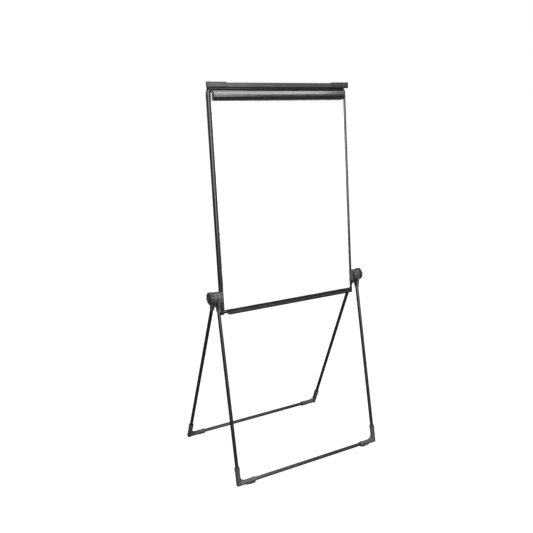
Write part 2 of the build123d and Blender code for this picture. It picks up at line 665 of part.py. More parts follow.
def arm_grip(side):
    """The moulded grip on the outer end of a display arm."""
    with BuildPart() as grip:
        with BuildSketch(across(BOARD, side * (RAIL_HALF_LENGTH + GRIP_END_GAP + GRIP_LENGTH / 2))):
            with Locations(((GRIP_BACK + GRIP_FRONT) / 2, (BRACKET_LOW + BRACKET_HIGH) / 2)):
                RectangleRounded(GRIP_FRONT - GRIP_BACK, GRIP_TALL, GRIP_CORNER)
        extrude(amount=GRIP_LENGTH / 2, both=True)
        outer_face = grip.faces().sort_by(Axis.X)[-1 if side > 0 else 0]
        fillet(outer_face.edges(), GRIP_EDGE_FILLET)
        plug_start = side * (RAIL_HALF_LENGTH - GRIP_PLUG_LENGTH)
        plug_end = side * (RAIL_HALF_LENGTH + GRIP_LENGTH / 2)
        rail_box(plug_start, plug_end, PLUG_DEPTH, PLUG_TALL, PLUG_CORNER)
    return grip


def arm_glide(side):
    """The nylon glide that closes the inner end of a display arm and steadies it in the rail."""
    with BuildPart() as glide:
        first_x = side * (ARM_INNER_X - GLIDE_LENGTH)
        last_x = side * ARM_INNER_X
        plug_end = side * (ARM_INNER_X + GLIDE_PLUG_LENGTH)
        rail_box(first_x, last_x, ARM_DEPTH + GLIDE_OVERSIZE, ARM_TALL + GLIDE_OVERSIZE, RAIL_INNER_CORNER)
        rail_box(last_x, plug_end, PLUG_DEPTH, PLUG_TALL, PLUG_CORNER)
    return glide


for side_name, side in SIDES.items():
    save(rail_bracket(side), f"rail_bracket_{side_name}")
    save(display_arm(side), f"display_arm_{side_name}")
    save(arm_grip(side), f"arm_grip_{side_name}")
    save(arm_glide(side), f"arm_glide_{side_name}")

bracket_screws = pan_head_screws(BOARD, bracket_screw_spots, (0, -1, 0), BRACKET_SCREW_LENGTH)
save(bracket_screws, "bracket_screws")


# ---------------------------------------------------------------- hub: saddles, nuts, washers, knobs
SADDLE_DEPTH = 26.0
SADDLE_INNER_X = 347.0
SADDLE_MOUTH_NARROWING = 3.0
RIVET_NUT_FLANGE_RADIUS = 7.0
RIVET_NUT_FLANGE = 1.0
RIVET_NUT_LENGTH = 12.0
FRICTION_WASHER_X = 379.5
FRICTION_WASHER_RADIUS = 20.0
FRICTION_WASHER_THICKNESS = 1.0
KNOB_WASHER_X = 395.6
KNOB_WASHER_RADIUS = 12.0
KNOB_WASHER_THICKNESS = 1.2
KNOB_LOBES = 10
KNOB_FLUTE_RADIUS = 6.2
KNOB_FLUTE_CENTRE = KNOB_RADIUS + 3.2
KNOB_EDGE_FILLET = 1.6
KNOB_FLOOR = 3.0
KNOB_CAP_DEPTH = 3.0
KNOB_CAP_RADIUS = 9.0
KNOB_CAP_RISE = 0.8
KNOB_CAP_FILLET = 0.7
BOLT_HEAD_FLATS = 13.0
BOLT_HEAD_HEIGHT = 5.3
BOLT_LENGTH = 48.0


def disc(base, x, thickness, outer_radius, inner_radius):
    """A flat ring square to the pivot axis, centred on x."""
    with BuildSketch(across(base, x)) as ring:
        Circle(outer_radius)
        Circle(inner_radius, mode=Mode.SUBTRACT)
    extrude(ring.sketch, amount=thickness / 2, both=True)


def hub_saddle(side):
    """A moulded block that hugs the frame tube and gives the hub a flat face."""
    with BuildPart() as saddle:
        with BuildSketch(across(BOARD, side * (SADDLE_INNER_X + SADDLE_FACE_X) / 2)):
            Circle(HUB_HEAD_RADIUS)
            Rectangle(SADDLE_DEPTH, 2 * HUB_HEAD_RADIUS, mode=Mode.INTERSECT)
        extrude(amount=(SADDLE_FACE_X - SADDLE_INNER_X) / 2, both=True)
        with BuildSketch(level(BOARD, 0)):
            with Locations((side * FRAME_HALF_WIDTH, 0)):
                Circle(FRAME_TUBE_RADIUS)
            # the mouth that lets the block snap over the tube
            with Locations((side * SADDLE_INNER_X, 0)):
                Rectangle(FRAME_TUBE_RADIUS, 2 * FRAME_TUBE_RADIUS - SADDLE_MOUTH_NARROWING)
        extrude(amount=2 * HUB_HEAD_RADIUS, both=True, mode=Mode.SUBTRACT)
        tube_middle = [(side * FRAME_HALF_WIDTH, 0, 0)]
        drill(BOARD, tube_middle, (side, 0, 0), RIVET_NUT_FLANGE_RADIUS + RUNNING_GAP, SADDLE_DEPTH)
    return saddle


def pivot_plane(side, x):
    """A plane square to the pivot axis at x on one side, facing outward."""
    return Plane(origin=(side * x, PIVOT_Y, PIVOT_HEIGHT), x_dir=(0, 1, 0), z_dir=(side, 0, 0))


def knob(side):
    """A ten-lobed clamping knob with a hexagonal seat for the bolt's head."""
    with BuildPart() as grip:
        face = pivot_plane(side, KNOB_BASE_X)
        with BuildSketch(face):
            Circle(KNOB_RADIUS)
            with PolarLocations(KNOB_FLUTE_CENTRE, KNOB_LOBES):
                Circle(KNOB_FLUTE_RADIUS, mode=Mode.SUBTRACT)
        extrude(amount=KNOB_THICKNESS)
        rim = grip.faces().sort_by(Axis.X)[-1 if side > 0 else 0]
        fillet(rim.outer_wire().edges(), KNOB_EDGE_FILLET)
        with BuildSketch(face.offset(KNOB_FLOOR)):
            RegularPolygon(BOLT_HEAD_FLATS / 2 + SNUG_GAP, 6, major_radius=False)
        extrude(amount=KNOB_THICKNESS, mode=Mode.SUBTRACT)
        with BuildSketch(face.offset(KNOB_THICKNESS - KNOB_CAP_DEPTH)):
            Circle(KNOB_CAP_RADIUS + SNUG_GAP)
        extrude(amount=KNOB_CAP_DEPTH, mode=Mode.SUBTRACT)
        with BuildSketch(face):
            Circle(BOLT_HOLE_RADIUS)
        extrude(amount=KNOB_FLOOR, mode=Mode.SUBTRACT)
    return grip


def knob_bolt(side):
    """The bolt that the knob turns: a hexagonal head and a shank into the frame's rivet nut."""
    with BuildPart() as bolt:
        seat = pivot_plane(side, KNOB_BASE_X + KNOB_FLOOR)
        with BuildSketch(seat):
            RegularPolygon(BOLT_HEAD_FLATS / 2, 6, major_radius=False)
        extrude(amount=BOLT_HEAD_HEIGHT)
        with BuildSketch(seat):
            Circle(BOLT_RADIUS)
        extrude(amount=-BOLT_LENGTH)
    return bolt


def knob_cap(side):
    """The press-in cover in the middle of the knob."""
    with BuildPart() as cap:
        with BuildSketch(pivot_plane(side, KNOB_BASE_X + KNOB_THICKNESS - KNOB_CAP_DEPTH)):
            Circle(KNOB_CAP_RADIUS)
        extrude(amount=KNOB_CAP_DEPTH + KNOB_CAP_RISE)
        rim = cap.faces().sort_by(Axis.X)[-1 if side > 0 else 0]
        fillet(rim.edges(), KNOB_CAP_FILLET)
    return cap


for side_name, side in SIDES.items():
    save(hub_saddle(side), f"hub_saddle_{side_name}")
    save(knob(side), f"knob_{side_name}")
    save(knob_bolt(side), f"knob_bolt_{side_name}")
    save(knob_cap(side), f"knob_cap_{side_name}")

with BuildPart() as rivet_nuts:
    for side in SIDES.values():
        flange_x = FRAME_HALF_WIDTH + FRAME_TUBE_RADIUS
        flange_middle = side * (flange_x + RIVET_NUT_FLANGE / 2)
        barrel_middle = side * (flange_x - RIVET_NUT_LENGTH / 2)
        disc(BOARD, flange_middle, RIVET_NUT_FLANGE, RIVET_NUT_FLANGE_RADIUS, BOLT_HOLE_RADIUS)
        disc(BOARD, barrel_middle, RIVET_NUT_LENGTH, RIVET_NUT_RADIUS - SNUG_GAP, BOLT_HOLE_RADIUS)
save(rivet_nuts, "rivet_nuts")

WASHER_HOLE_RADIUS = BOLT_HOLE_RADIUS + RUNNING_GAP

with BuildPart() as friction_washers:
    for side in SIDES.values():
        washer_x = side * FRICTION_WASHER_X
        disc(BOARD, washer_x, FRICTION_WASHER_THICKNESS, FRICTION_WASHER_RADIUS, WASHER_HOLE_RADIUS)
save(friction_washers, "friction_washers")

with BuildPart() as knob_washers:
    for side in SIDES.values():
        washer_x = side * KNOB_WASHER_X
        disc(BOARD, washer_x, KNOB_WASHER_THICKNESS, KNOB_WASHER_RADIUS, WASHER_HOLE_RADIUS)
save(knob_washers, "knob_washers")


# ---------------------------------------------------------------- leg frames
SPIGOT_RADIUS = LEG_TUBE_RADIUS - LEG_TUBE_WALL - SNUG_GAP
SPIGOT_LENGTH = 35.0
SPIGOT_HOLE_DEPTH = 6.0
HUB_NECK_RADIUS = 10.0
HUB_NECK_CENTRE = -52.0
HUB_CHAMFER = 1.0
HUB_RECESS_CENTRE = -42.0
HUB_RECESS_LENGTH = 20.0
HUB_RECESS_WIDTH = 8.0
HUB_RECESS_DEPTH = 1.6
TUBE_END_GAP = 12.0
LEG_SLEEVE_LENGTH = 74.0
BAR_SLEEVE_LENGTH = 83.0
LEG_COLLAR_RADIUS = 12.2
LEG_COLLAR_LENGTH = 16.0
BAR_COLLAR_RADIUS = 11.9
BAR_COLLAR_LENGTH = 12.0
WEB_EDGE = 8.0
WEB_TIP_DROP = 7.0
WEB_RADIUS = 30.0
WEB_THICKNESS = 13.0
SOLE_START = 28.0
SOLE_FLAT_START = 46.0
SOLE_END = 79.0
SOLE_DROP = 20.0
FLOOR_CUT_SIDE = 400.0
FLOOR_CUT_DEPTH = 60.0
PAD_THICKNESS = 1.5
PAD_LENGTH = 24.0
PAD_WIDTH = 13.0
PAD_CORNER = 3.0
PAD_INBOARD = 63.0
PAD_STUD_RADIUS = 2.5
PAD_STUD_HEIGHT = 2.8
PAD_STUD_END_GAP = 0.2
TUBE_FIT = 0.03
HUB_RIVET_DROP = 82.0
LEG_RIVET_RISE = 44.0
BAR_RIVET_INSET = 58.0


def hub_connector(base, x):
    """A flat moulded head on the pivot that tapers to a neck and plugs into the leg tube."""
    with BuildPart() as hub:
        reach = -HUB_NECK_CENTRE
        taper = asin((HUB_HEAD_RADIUS - HUB_NECK_RADIUS) / reach)
        with BuildSketch(across(base, x)):
            Circle(HUB_HEAD_RADIUS)
            half = [
                (HUB_HEAD_RADIUS * cos(taper), -HUB_HEAD_RADIUS * sin(taper)),
                (HUB_NECK_RADIUS * cos(taper), HUB_NECK_CENTRE - HUB_NECK_RADIUS * sin(taper)),
                (HUB_NECK_RADIUS * cos(taper), -HUB_LENGTH),
            ]
            with BuildLine():
                Polyline(*half, *[(-a, b) for a, b in reversed(half)], close=True)
            make_face()
        extrude(amount=HUB_THICKNESS / 2, both=True)
        flat_faces = hub.faces().filter_by(Axis.X)
        chamfer(flat_faces.edges(), HUB_CHAMFER)
        # moulded recess in both cheeks of the neck
        for side in SIDES.values():
            with BuildSketch(across(base, x + side * HUB_THICKNESS / 2)):
                with Locations((0, HUB_RECESS_CENTRE)):
                    SlotOverall(HUB_RECESS_LENGTH, HUB_RECESS_WIDTH, rotation=90)
            extrude(amount=HUB_RECESS_DEPTH, both=True, mode=Mode.SUBTRACT)
        with BuildSketch(toward(base, (x, -HUB_LENGTH, 0), (0, -1, 0))):
            Circle(SPIGOT_RADIUS)
        extrude(amount=SPIGOT_LENGTH)
        with BuildSketch(across(base, x)):
            Circle(BOLT_HOLE_RADIUS)
        extrude(amount=HUB_THICKNESS, both=True, mode=Mode.SUBTRACT)
        rivet_spot = (x, -HUB_RIVET_DROP, -LEG_TUBE_RADIUS)
        drill(base, [rivet_spot], (0, 0, 1), RIVET_RADIUS + SNUG_GAP, SPIGOT_HOLE_DEPTH)
    return hub


def tube(base, start, direction, length, rivet_spots):
    """A straight round tube with a rivet hole near each end, on its back."""
    with BuildPart() as piece:
        with BuildSketch(toward(base, start, direction)):
            Circle(LEG_TUBE_RADIUS)
            Circle(LEG_TUBE_RADIUS - LEG_TUBE_WALL, mode=Mode.SUBTRACT)
        extrude(amount=length)
        drill(base, rivet_spots, (0, 0, 1), RIVET_RADIUS + SNUG_GAP, LEG_TUBE_RADIUS)
    return piece


def foot_corner(base, x, side, drop):
    """The moulded corner that joins a leg to the foot bar and stands on the floor."""
    arc_end = WEB_EDGE + WEB_RADIUS
    arc_middle = WEB_EDGE + WEB_RADIUS * (1 - cos(radians(45)))

    def spot(inboard, up):
        """A place in the leg frame's plane, from where the leg and bar axes meet."""
        return (x - side * inboard, up - drop)

    with BuildPart() as foot:
        # web between the two sleeves, with a sole below the bar sleeve
        with BuildSketch(base):
            with BuildLine():
                Polyline(
                    spot(0, -WEB_TIP_DROP),
                    spot(0, LEG_SLEEVE_LENGTH - LEG_COLLAR_LENGTH),
                    spot(WEB_EDGE, LEG_SLEEVE_LENGTH - LEG_COLLAR_LENGTH),
                    spot(WEB_EDGE, arc_end),
                )
                ThreePointArc(spot(WEB_EDGE, arc_end), spot(arc_middle, arc_middle), spot(arc_end, WEB_EDGE))
                Polyline(
                    spot(arc_end, WEB_EDGE),
                    spot(SOLE_END, WEB_EDGE),
                    spot(SOLE_END, -SOLE_DROP),
                    spot(SOLE_FLAT_START, -SOLE_DROP),
                    spot(SOLE_START, -WEB_TIP_DROP),
                    spot(0, -WEB_TIP_DROP),
                )
            make_face()
        extrude(amount=WEB_THICKNESS / 2, both=True)
        leg_top = (*spot(0, LEG_SLEEVE_LENGTH), 0)
        with BuildSketch(toward(base, leg_top, (0, -1, 0))):
            Circle(SLEEVE_RADIUS)
        extrude(amount=LEG_SLEEVE_LENGTH + FOOT_TIP_DROP)
        with BuildSketch(toward(base, leg_top, (0, -1, 0))):
            Circle(LEG_COLLAR_RADIUS)
        extrude(amount=LEG_COLLAR_LENGTH)
        bar_end = (*spot(BAR_SLEEVE_LENGTH, 0), 0)
        with BuildSketch(toward(base, bar_end, (side, 0, 0))):
            Circle(BAR_SLEEVE_RADIUS)
        extrude(amount=BAR_SLEEVE_LENGTH)
        with BuildSketch(toward(base, bar_end, (side, 0, 0))):
            Circle(BAR_COLLAR_RADIUS)
        extrude(amount=BAR_COLLAR_LENGTH)
        # flat underside, level with the floor
        with BuildSketch(Plane.XY.offset(PAD_THICKNESS)):
            with Locations(pad_centre(base, x, side, drop)):
                Rectangle(FLOOR_CUT_SIDE, FLOOR_CUT_SIDE)
        extrude(amount=-FLOOR_CUT_DEPTH, mode=Mode.SUBTRACT)
        bore = LEG_TUBE_RADIUS + TUBE_FIT
        drill(base, [(x, -drop + TUBE_END_GAP, 0)], (0, 1, 0), bore, LEG_SLEEVE_LENGTH)
        drill(base, [(x - side * TUBE_END_GAP, -drop, 0)], (-side, 0, 0), bore, BAR_SLEEVE_LENGTH)
        drill(base, foot_rivets(x, side, drop), (0, 0, 1), RIVET_RADIUS + SNUG_GAP, SLEEVE_RADIUS)
        with BuildSketch(Plane.XY.offset(PAD_THICKNESS)):
            with Locations(pad_centre(base, x, side, drop)):
                Circle(PAD_STUD_RADIUS + SNUG_GAP)
        extrude(amount=PAD_STUD_HEIGHT + PAD_STUD_END_GAP, mode=Mode.SUBTRACT)
    return foot


def foot_rivets(x, side, drop):
    """The two rivets of a foot corner, on the back of its sleeves, in leg frame coordinates."""
    return [
        (x, -drop + LEG_RIVET_RISE, -SLEEVE_RADIUS),
        (x - side * BAR_RIVET_INSET, -drop, -BAR_SLEEVE_RADIUS),
    ]


def pad_centre(base, x, side, drop):
    """Where the middle of a foot pad stands on the floor plan."""
    on_leg_line = base.from_local_coords((x, -drop - FOOTBAR_HEIGHT, 0))
    return (x - side * PAD_INBOARD, on_leg_line.Y)


def foot_pads(base, leg_xs, drop):
    """Rubber pads under the two foot corners, each with a stud that holds it in place."""
    with BuildPart() as pads:
        for side, x in zip(SIDES.values(), leg_xs):
            centre_x, centre_y = pad_centre(base, x, side, drop)
            with BuildSketch(Plane.XY):
                with Locations((centre_x, centre_y)):
                    RectangleRounded(PAD_LENGTH, PAD_WIDTH, PAD_CORNER)
            extrude(amount=PAD_THICKNESS)
            with BuildSketch(Plane.XY.offset(PAD_THICKNESS)):
                with Locations((centre_x, centre_y)):
                    Circle(PAD_STUD_RADIUS)
            extrude(amount=PAD_STUD_HEIGHT)
    return pads


def rivets(base, spots):
    """Domed blind rivets: each spot is the underside of a head, and the shank points forward."""
    with BuildPart() as group:
        for spot in spots:
            seat = toward(base, spot, (0, 0, 1))
            with BuildSketch(seat):
                Circle(RIVET_RADIUS)
            extrude(amount=RIVET_SHANK_LENGTH)
            with BuildSketch(seat):
                Circle(RIVET_HEAD_RADIUS)
            extrude(amount=-RIVET_HEAD_HEIGHT, taper=RIVET_HEAD_TAPER)
    return group


def leg_frame(name, lean, reach, left_x, right_x):
    """All the pieces of one U-shaped leg frame."""
    base = leaning_plane(lean)
    drop = hypot(reach, PIVOT_HEIGHT - FOOTBAR_HEIGHT)
    leg_xs = (left_x, right_x)
    leg_length = drop - HUB_LENGTH - TUBE_END_GAP
    all_rivets = []
    for (side_name, side), x in zip(SIDES.items(), leg_xs):
        hub_spot = (x, -HUB_RIVET_DROP, -LEG_TUBE_RADIUS)
        leg_spot, bar_spot = foot_rivets(x, side, drop)
        all_rivets += [hub_spot, leg_spot, bar_spot]
        save(hub_connector(base, x), f"{name}_hub_{side_name}")
        leg = tube(base, (x, -HUB_LENGTH, 0), (0, -1, 0), leg_length, [hub_spot, leg_spot])
        save(leg, f"{name}_leg_{side_name}")
        save(foot_corner(base, x, side, drop), f"{name}_foot_{side_name}")
    bar_spots = [foot_rivets(x, side, drop)[1] for side, x in zip(SIDES.values(), leg_xs)]
    bar_start = (left_x + TUBE_END_GAP, -drop, 0)
    bar_length = right_x - left_x - 2 * TUBE_END_GAP
    save(tube(base, bar_start, (1, 0, 0), bar_length, bar_spots), f"{name}_footbar")
    save(foot_pads(base, leg_xs, drop), f"{name}_foot_pads")
    save(rivets(base, all_rivets), f"{name}_rivets")


leg_frame("front", FRONT_LEAN, FRONT_REACH, -INNER_LEG_X, OUTER_LEG_X)
leg_frame("rear", REAR_LEAN, REAR_REACH, -OUTER_LEG_X, INNER_LEG_X)
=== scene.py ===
import json
import math

import bmesh
import bpy
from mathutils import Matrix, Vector


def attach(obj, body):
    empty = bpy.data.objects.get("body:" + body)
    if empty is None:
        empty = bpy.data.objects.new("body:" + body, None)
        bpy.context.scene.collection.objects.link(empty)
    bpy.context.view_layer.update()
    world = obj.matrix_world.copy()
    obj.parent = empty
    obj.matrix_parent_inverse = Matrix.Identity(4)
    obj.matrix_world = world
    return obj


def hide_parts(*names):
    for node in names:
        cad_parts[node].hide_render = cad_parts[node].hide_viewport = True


# Flipchart easel: finishes for the CAD nodes, softened skins for the moulded ones, and a plain studio.
# Lengths are in metres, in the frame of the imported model, unless a name or a comment says otherwise.

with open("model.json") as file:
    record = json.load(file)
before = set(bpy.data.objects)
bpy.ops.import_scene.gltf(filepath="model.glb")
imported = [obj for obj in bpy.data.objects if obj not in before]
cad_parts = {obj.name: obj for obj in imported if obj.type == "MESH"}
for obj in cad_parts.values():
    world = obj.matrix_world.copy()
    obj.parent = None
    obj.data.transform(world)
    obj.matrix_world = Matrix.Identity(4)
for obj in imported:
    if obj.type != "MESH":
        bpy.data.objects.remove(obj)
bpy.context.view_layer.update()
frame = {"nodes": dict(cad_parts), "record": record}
RECORD = frame["record"]
BODY_OF_NODE = {n: body for body, nodes in RECORD["behaviour"]["bodies"].items() for n in nodes}
SLOT_OF_NODE = {s["node"]: s["material_slot"] for s in RECORD["subparts"]}
JOINT = {joint["name"]: joint for joint in RECORD["behaviour"]["joints"]}
PIVOT = Vector(JOINT["front_leg_fold"]["pos_m"])
MM = 0.001

# The board leans back. Its white face is painted black from this far up it from the pivot, with an edge
# this wide: painted shade for the dark gap under the rail and clamp
BOARD_LEAN = math.radians(6.2)
BOARD_UP = Vector((0, math.sin(BOARD_LEAN), math.cos(BOARD_LEAN)))
BOARD_FORWARD = Vector((0, -math.cos(BOARD_LEAN), math.sin(BOARD_LEAN)))
SHADE_BAND_FROM = 0.876
SHADE_BAND_EDGE = 0.5 * MM

# Softened skins: voxel size in mm, rounds of smoothing, and how far the front bows in mm
FOOT_SKIN = (0.8, 6, 0.0)
HUB_SKIN = (0.7, 4, 0.0)
KNOB_SKIN = (0.6, 3, 0.0)
BRACKET_SKIN = (0.6, 3, 1.6)
GRIP_SKIN = (0.5, 3, 1.2)
SOFTENED = {
    "front_foot_left": FOOT_SKIN,
    "front_foot_right": FOOT_SKIN,
    "rear_foot_left": FOOT_SKIN,
    "rear_foot_right": FOOT_SKIN,
    "front_hub_left": HUB_SKIN,
    "front_hub_right": HUB_SKIN,
    "rear_hub_left": HUB_SKIN,
    "rear_hub_right": HUB_SKIN,
    "hub_saddle_left": HUB_SKIN,
    "hub_saddle_right": HUB_SKIN,
    "knob_left": KNOB_SKIN,
    "knob_right": KNOB_SKIN,
    "rail_bracket_left": BRACKET_SKIN,
    "rail_bracket_right": BRACKET_SKIN,
    "arm_grip_left": GRIP_SKIN,
    "arm_grip_right": GRIP_SKIN,
}
SMOOTHING = 0.5
# The bow starts at this share of the way from a moulding's back to its front
CROWN_START = 0.5

# Floor: half its side, its depth under the feet, its glow near the easel, the distances between which
# that glow rises to full white, and its shade for light and reflections
FLOOR_REACH = 30.0
FLOOR_DROP = 0.0002
FLOOR_GLOW = 0.91
GLOW_NEAR = 0.5
GLOW_FAR = 1.8
FLOOR_SHADE = 0.08

# Surroundings, as light and reflections see them: brightest to the front right
BRIGHT_SIDE = (0.55, -0.82, 0.15)
BRIGHT_SIDE_GLOW = 0.30
DIM_SIDE_GLOW = 0.02
SKY_TINT = (0.93, 0.965, 1.0, 1.0)

# Softboxes: name, place, target, width and height in metres, and power in watts
SOFTBOXES = (
    ("key_light", (-0.2, -4.6, 2.7), (0, 0, 1.2), (5.2, 3.4), 290),
    ("overhead_light", (0.8, -0.85, 4.0), (0.8, -0.75, 1.6), (2.6, 1.0), 60),
    ("back_light", (-3.2, 2.4, 2.9), (0, 0, 1.1), (2.2, 1.8), 170),
)

# Camera: focal length and image centre in pixels, angles in degrees, place from the pivot in metres
IMAGE_SIDE = 533
IMAGE_CENTRE = (264.9, 252.1)
LENS_PIXELS = 656.2
SENSOR_MM = 36.0
CAMERA_YAW = 30.0
CAMERA_PITCH = 13.9
CAMERA_FROM_PIVOT = Vector((-1.5615, -2.4807, 0.8842))
FARTHEST_SEEN = 100


# ---------------------------------------------------------------- material helpers
def scaled(colour, factor):
    """The colour made darker or lighter, and never more than white."""
    return tuple(min(1.0, channel * factor) for channel in colour)


class Nodes:
    """A material's node tree, with short calls for the nodes that the finishes share."""

    def __init__(self, name):
        self.material = bpy.data.materials.new(name)
        self.material.use_nodes = True
        self.tree = self.material.node_tree
        self.shader = self.tree.nodes["Principled BSDF"]
        place = self.tree.nodes.new("ShaderNodeTexCoord")
        self.place = place.outputs["Object"]

    def add(self, kind, **settings):
        node = self.tree.nodes.new(kind)
        for key, value in settings.items():
            setattr(node, key, value)
        return node

    def link(self, source, target):
        self.tree.links.new(source, target)

    def stretched(self, scale):
        """The object's own coordinates, scaled on each axis, so that a pattern can run along one."""
        node = self.add("ShaderNodeMapping")
        node.inputs["Scale"].default_value = scale
        self.link(self.place, node.inputs["Vector"])
        return node.outputs["Vector"]

    def noise(self, per_metre, detail=2.0, roughness=0.5, vector=None, seed=0.0):
        """Soft noise with about per_metre blobs to the metre."""
        node = self.add("ShaderNodeTexNoise", noise_dimensions="4D")
        node.inputs["W"].default_value = seed
        node.inputs["Scale"].default_value = per_metre
        node.inputs["Detail"].default_value = detail
        node.inputs["Roughness"].default_value = roughness
        self.link(self.place if vector is None else vector, node.inputs["Vector"])
        return node.outputs["Fac"]

    def spread(self, value, low, high, new_low=0.0, new_high=1.0):
        """Maps a value between low and high to a new range, and holds it there."""
        node = self.add("ShaderNodeMapRange", interpolation_type="SMOOTHSTEP")
        node.inputs["From Min"].default_value = low
        node.inputs["From Max"].default_value = high
        node.inputs["To Min"].default_value = new_low
        node.inputs["To Max"].default_value = new_high
        self.link(value, node.inputs["Value"])
        return node.outputs["Result"]

    def calculate(self, operation, first, second):
        node = self.add("ShaderNodeMath", operation=operation)
        for socket, value in zip(node.inputs, (first, second)):
            if isinstance(value, (int, float)):
                socket.default_value = value
            else:
                self.link(value, socket)
        return node.outputs["Value"]

    def part_of(self, mask, share):
        """The mask at a share of its strength."""
        return self.calculate("MULTIPLY", mask, share)

    def mix(self, share, first, second):
        """A colour between two colours, each an (r, g, b) or another node's output."""
        node = self.add("ShaderNodeMix", data_type="RGBA")
        self.link(share, node.inputs["Factor"])
        for key, colour in (("A", first), ("B", second)):
            socket = [s for s in node.inputs if s.name == key and s.type == "RGBA"][0]
            if isinstance(colour, tuple):
                socket.default_value = (*colour, 1.0)
            else:
                self.link(colour, socket)
        return [s for s in node.outputs if s.type == "RGBA"][0]

    def along(self, direction):
        """How far a point of the object lies along a direction."""
        node = self.add("ShaderNodeVectorMath", operation="DOT_PRODUCT")
        self.link(self.place, node.inputs[0])
        node.inputs[1].default_value = direction
        return node.outputs["Value"]

    def edges(self, radius_mm, low=0.02, high=0.25):
        """1 on edges and corners, 0 on flat and gently curved faces."""
        bevel = self.add("ShaderNodeBevel", samples=4)
        bevel.inputs["Radius"].default_value = radius_mm * MM
        here = self.add("ShaderNodeNewGeometry")
        dot = self.add("ShaderNodeVectorMath", operation="DOT_PRODUCT")
        self.link(bevel.outputs["Normal"], dot.inputs[0])
        self.link(here.outputs["Normal"], dot.inputs[1])
        return self.spread(self.calculate("SUBTRACT", 1.0, dot.outputs["Value"]), low, high)

    def worn_edges(self, radius_mm, patches, low, high):
        """Edges rubbed only here and there, where the noise is high."""
        return self.calculate("MULTIPLY", self.edges(radius_mm), self.spread(patches, low, high))

    def dust(self, patches):
        """1 in patches on faces that look up, where dust settles."""
        here = self.add("ShaderNodeNewGeometry")
        split = self.add("ShaderNodeSeparateXYZ")
        self.link(here.outputs["Normal"], split.inputs[0])
        facing_up = self.spread(split.outputs["Z"], 0.55, 0.95)
        return self.calculate("MULTIPLY", facing_up, self.spread(patches, 0.4, 0.75))

    def bump(self, height, depth_mm, under=None):
        node = self.add("ShaderNodeBump")
        node.inputs["Strength"].default_value = 1.0
        node.inputs["Distance"].default_value = depth_mm * MM
        self.link(height, node.inputs["Height"])
        if under is not None:
            self.link(under, node.inputs["Normal"])
        return node.outputs["Normal"]

    def set(self, **values):
        """Sets the shader's inputs by name, with _ for a space, to numbers, colours or outputs."""
        for key, value in values.items():
            socket = self.shader.inputs[key.replace("_", " ")]
            if isinstance(value, tuple):
                socket.default_value = (*value, 1.0)
            elif isinstance(value, (int, float)):
                socket.default_value = value
            else:
                self.link(value, socket)


# ---------------------------------------------------------------- finishes
def coated_metal(name, colour, rough, grain_mm, grain_depth, coat, worn=(0.16, 0.16, 0.165), seed=0.0):
    """Powder coat or paint on metal: fine orange peel, uneven gloss, dust above and rubbed edges."""
    n = Nodes(name)
    patches = n.spread(n.noise(6, 4, 0.6, seed=seed), 0.35, 0.65)
    fleck = n.noise(1000 / grain_mm, 2, 0.6, seed=seed + 2)
    shade = n.mix(patches, scaled(colour, 0.82), scaled(colour, 1.22))
    shade = n.mix(n.part_of(n.spread(fleck, 0.5, 0.8), 0.25), shade, scaled(colour, 2.2))
    dust = n.dust(n.noise(45, 5, 0.65, seed=seed + 4))
    shade = n.mix(n.part_of(dust, 0.10), shade, (0.20, 0.20, 0.20))
    rub = n.worn_edges(0.7, n.noise(220, 4, 0.7, seed=seed + 6), 0.52, 0.70)
    shade = n.mix(n.part_of(rub, 0.55), shade, worn)
    gloss = n.spread(n.noise(28, 5, 0.65, seed=seed + 8), 0.3, 0.7, rough - 0.05, rough + 0.07)
    gloss = n.calculate("ADD", gloss, n.part_of(dust, 0.12))
    peel = n.bump(fleck, grain_depth)
    long_waves = n.bump(n.noise(70, 2, 0.5, seed=seed + 10), 0.015, under=peel)
    n.set(Base_Color=shade, Roughness=gloss, Normal=long_waves, Coat_Weight=coat, Coat_Roughness=0.12)
    return n.material


def moulded(name, colour, rough, grain_mm, grain_depth, seed=0.0, edge_colour=(0.13, 0.133, 0.137)):
    """Moulded plastic with a spark-eroded texture, slight flow marks and polished, paler edges."""
    n = Nodes(name)
    flow = n.noise(14, 5, 0.65, seed=seed, vector=n.stretched((1, 2.5, 1)))
    shade = n.mix(n.spread(flow, 0.3, 0.7), scaled(colour, 0.8), scaled(colour, 1.25))
    grain = n.add("ShaderNodeTexVoronoi", feature="SMOOTH_F1")
    grain.inputs["Scale"].default_value = 1000 / grain_mm
    n.link(n.place, grain.inputs["Vector"])
    pits = n.spread(grain.outputs["Distance"], 0.1, 0.7)
    shade = n.mix(n.part_of(pits, 0.18), shade, scaled(colour, 1.9))
    rub = n.worn_edges(0.9, n.noise(260, 4, 0.7, seed=seed + 3), 0.45, 0.68)
    shade = n.mix(n.part_of(rub, 0.5), shade, edge_colour)
    dust = n.dust(n.noise(60, 5, 0.65, seed=seed + 4))
    shade = n.mix(n.part_of(dust, 0.12), shade, (0.22, 0.22, 0.215))
    gloss = n.spread(n.noise(35, 4, 0.6, seed=seed + 5), 0.3, 0.7, rough - 0.06, rough + 0.08)
    gloss = n.calculate("SUBTRACT", gloss, n.part_of(rub, 0.12))
    relief = n.bump(pits, grain_depth)
    relief = n.bump(flow, 0.08, under=relief)
    n.set(Base_Color=shade, Roughness=gloss, Normal=relief, Specular_IOR_Level=0.5)
    return n.material


